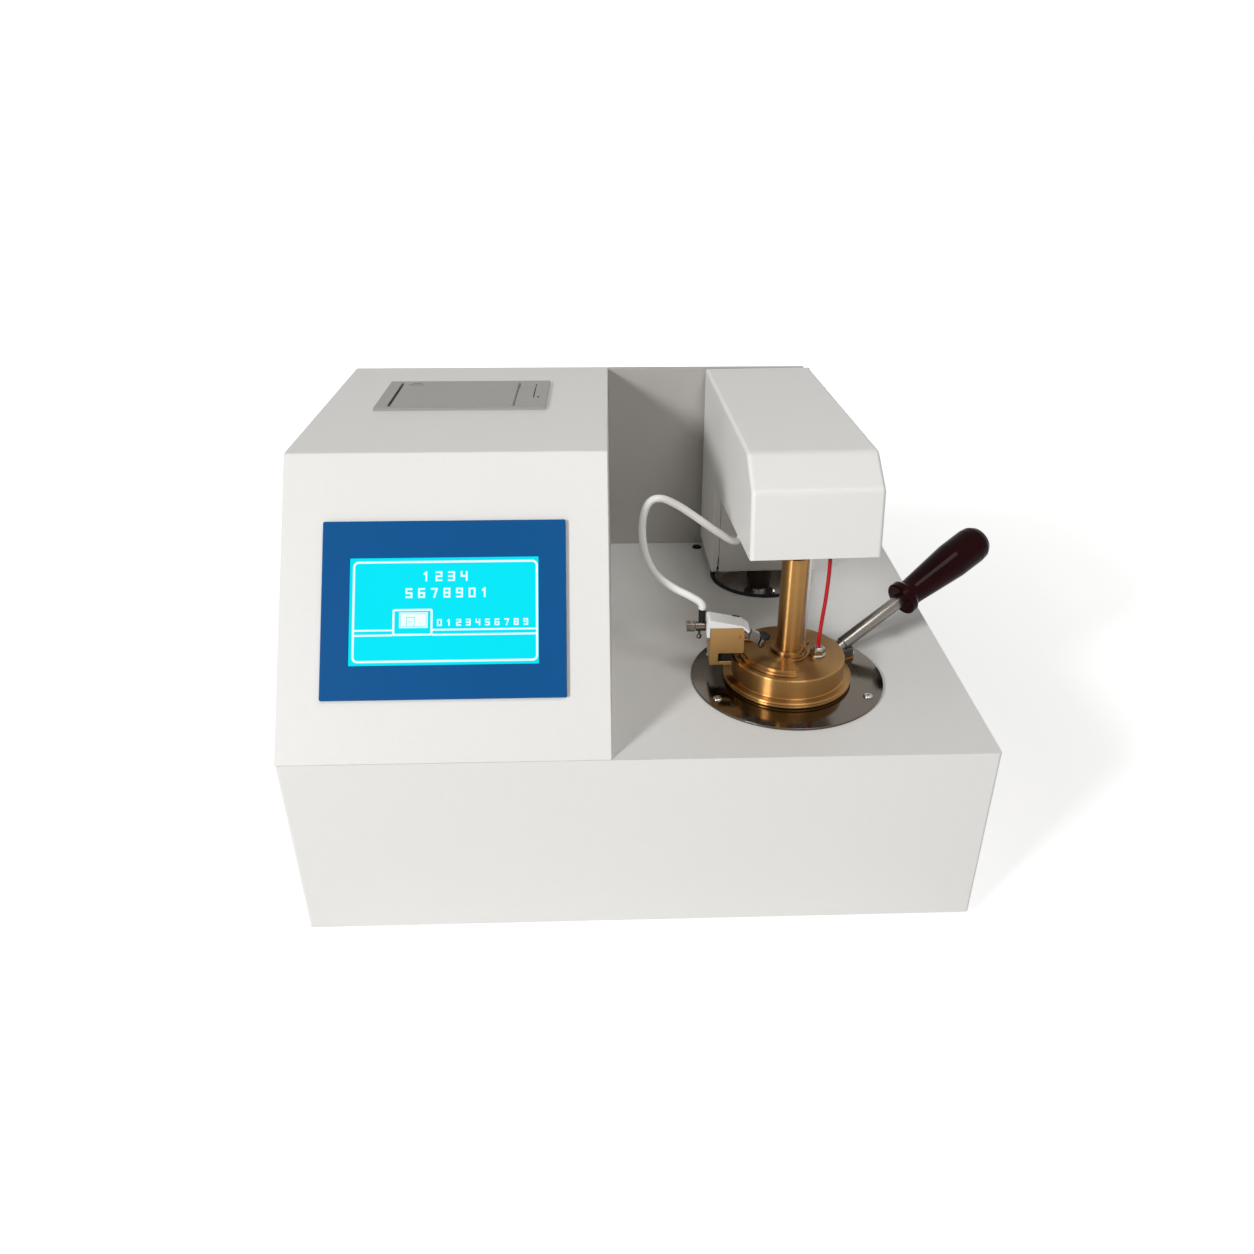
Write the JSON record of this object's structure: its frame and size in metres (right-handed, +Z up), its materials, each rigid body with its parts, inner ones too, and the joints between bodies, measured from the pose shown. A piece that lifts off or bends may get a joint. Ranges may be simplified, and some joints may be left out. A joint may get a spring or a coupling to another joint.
{
  "type": "flash point tester",
  "caption": "Bench closed-cup flash point tester: sheet-metal case with a touch-screen tower, brass cup and lid over a stove, and a lifting arm.",
  "frame": {"origin": "on the floor, under the centre of the object's bounding box", "axes": "+Z up, -Y towards the user, +X to the user's right along the case's width"},
  "size_m": [0.4394, 0.314, 0.2695],
  "materials": {
    "white_paint": "fine satin powder coat",
    "grey_paint": "satin powder coat in shade grey",
    "plain_steel": "zinc plated sheet",
    "stainless": "bright rolled stainless",
    "chromed": "polished plating",
    "brass": "satin turned brass",
    "cast_block": "as cast, darkened",
    "black_rubber": "matt",
    "white_silicone": "soft satin",
    "red_lead": "insulated wire",
    "blue_film": "satin printed film",
    "screen_glass": "lit liquid crystal screen",
    "grey_plastic": "moulded",
    "black_plastic": "moulded",
    "white_plastic": "machined",
    "red_plastic": "moulded rocker",
    "bakelite": "polished phenolic",
    "paper": "thermal paper",
    "circuit_board": "solder mask",
    "motor_case": "black enamel",
    "insulation": "pressed insulating board"
  },
  "bodies": {
    "case": {"base_cover": "white_paint", "tower_cover": "white_paint", "rear_wall": "white_paint", "rear_panel": "white_paint", "floor_plate": "plain_steel", "feet": "black_rubber", "deck_grommet": "black_rubber", "display_bezel": "blue_film", "touch_glass": "screen_glass", "display_module": "black_plastic", "printer_frame": "grey_plastic", "power_inlet": "black_plastic", "cooling_fan_frame": "black_plastic", "fan_guard": "chromed", "gas_inlet": "brass", "control_board": "circuit_board", "power_supply": "plain_steel", "stove_plate": "stainless", "stove_screws": "stainless", "heater_block": "cast_block", "stove_can": "plain_steel", "spacer_ring": "insulation", "opening_trim": "black_rubber", "lift_pan": "stainless", "lift_sleeve": "plain_steel", "lift_motor": "motor_case"},
    "stage": {"lift_stage": "chromed"},
    "arm": {"lift_post": "chromed", "lift_carrier": "plain_steel", "post_boot": "black_rubber", "arm_cover": "white_paint", "arm_bottom_plate": "white_paint", "column_plate": "white_paint", "stirrer_motor": "motor_case", "stirrer_belt": "black_rubber", "shutter_motor": "motor_case", "drive_tube": "brass", "lid": "brass", "sensor_nut": "chromed", "sensor_probe": "stainless", "sensor_lead": "red_lead", "ignition_bracket": "brass", "ignition_cap": "white_plastic", "needle_valve": "chromed", "gas_hose": "white_silicone"},
    "shutter_group": {"shutter": "brass", "shutter_rod": "plain_steel"},
    "torch": {"torch_lever": "stainless"},
    "stirrer_shaft": {"stirrer": "stainless"},
    "pulley": {"motor_pulley": "plain_steel"},
    "valve": {"valve_knob": "chromed"},
    "cup_group": {"cup": "brass", "handle_rod": "chromed", "handle_grip": "bakelite"},
    "door": {"printer_door": "grey_plastic"},
    "platen": {"platen_roller": "black_rubber"},
    "roll": {"paper_roll": "paper"},
    "button": {"feed_button": "grey_plastic"},
    "rocker": {"power_switch": "red_plastic"},
    "fan": {"cooling_fan_rotor": "black_plastic"}
  },
  "joints": [
    {"name": "arm_lift", "type": "slide", "parent": "case", "child": "arm", "axis": [0, 0, 1], "range_m": [0, 0.11]},
    {"name": "stage_lift", "type": "slide", "parent": "case", "child": "stage", "axis": [0, 0, 1], "range_m": [0, 0.055]},
    {"name": "cup_lift", "type": "slide", "parent": "case", "child": "cup_group", "axis": [0, 0, 1], "range_m": [0, 0.055]},
    {"name": "shutter_turn", "type": "hinge", "parent": "arm", "child": "shutter_group", "pos_m": [0.07526, -0.0715, 0.1465], "axis": [0, 0, 1], "range_deg": [0, 55], "stiffness_Nm_per_rad": 0.02},
    {"name": "torch_swing", "type": "hinge", "parent": "arm", "child": "torch", "pos_m": [0.03026, -0.077, 0.15], "axis": [0, 1, 0], "range_deg": [0, 23]},
    {"name": "stirrer_spin", "type": "hinge", "parent": "arm", "child": "stirrer_shaft", "pos_m": [0.07526, -0.0715, 0.1465], "axis": [0, 0, 1], "continuous": true},
    {"name": "pulley_spin", "type": "hinge", "parent": "arm", "child": "pulley", "pos_m": [0.07526, -0.0315, 0.2195], "axis": [0, 0, 1], "continuous": true},
    {"name": "valve_turn", "type": "hinge", "parent": "arm", "child": "valve", "pos_m": [0.02025, -0.067, 0.1615], "axis": [1, 0, 0], "range_deg": [0, 720]},
    {"name": "door_swing", "type": "hinge", "parent": "case", "child": "door", "pos_m": [-0.09755, 0.0665, 0.2675], "axis": [0, 1, 0], "range_deg": [0, 100]},
    {"name": "platen_spin", "type": "hinge", "parent": "door", "child": "platen", "pos_m": [-0.16925, 0.0665, 0.2605], "axis": [0, 1, 0], "continuous": true},
    {"name": "roll_spin", "type": "hinge", "parent": "case", "child": "roll", "pos_m": [-0.13775, 0.0665, 0.2409], "axis": [0, 1, 0], "continuous": true},
    {"name": "button_press", "type": "slide", "parent": "case", "child": "button", "axis": [0, 0, -1], "range_m": [0, 0.0015], "stiffness_N_per_m": 300},
    {"name": "switch_rock", "type": "hinge", "parent": "case", "child": "rocker", "pos_m": [-0.15974, 0.14, 0.058], "axis": [1, 0, 0], "range_deg": [-20, 0]},
    {"name": "fan_spin", "type": "hinge", "parent": "case", "child": "fan", "pos_m": [-0.12774, 0.123, 0.196], "axis": [0, 1, 0], "continuous": true}
  ],
  "couplings": [
    {"joint": "stage_lift", "follows": "arm_lift", "ratio": 0.5},
    {"joint": "cup_lift", "follows": "arm_lift", "ratio": 0.5},
    {"joint": "torch_swing", "follows": "shutter_turn", "ratio": 0.41818},
    {"joint": "pulley_spin", "follows": "stirrer_spin", "ratio": 1},
    {"joint": "platen_spin", "follows": "roll_spin", "ratio": -4.2222}
  ]
}
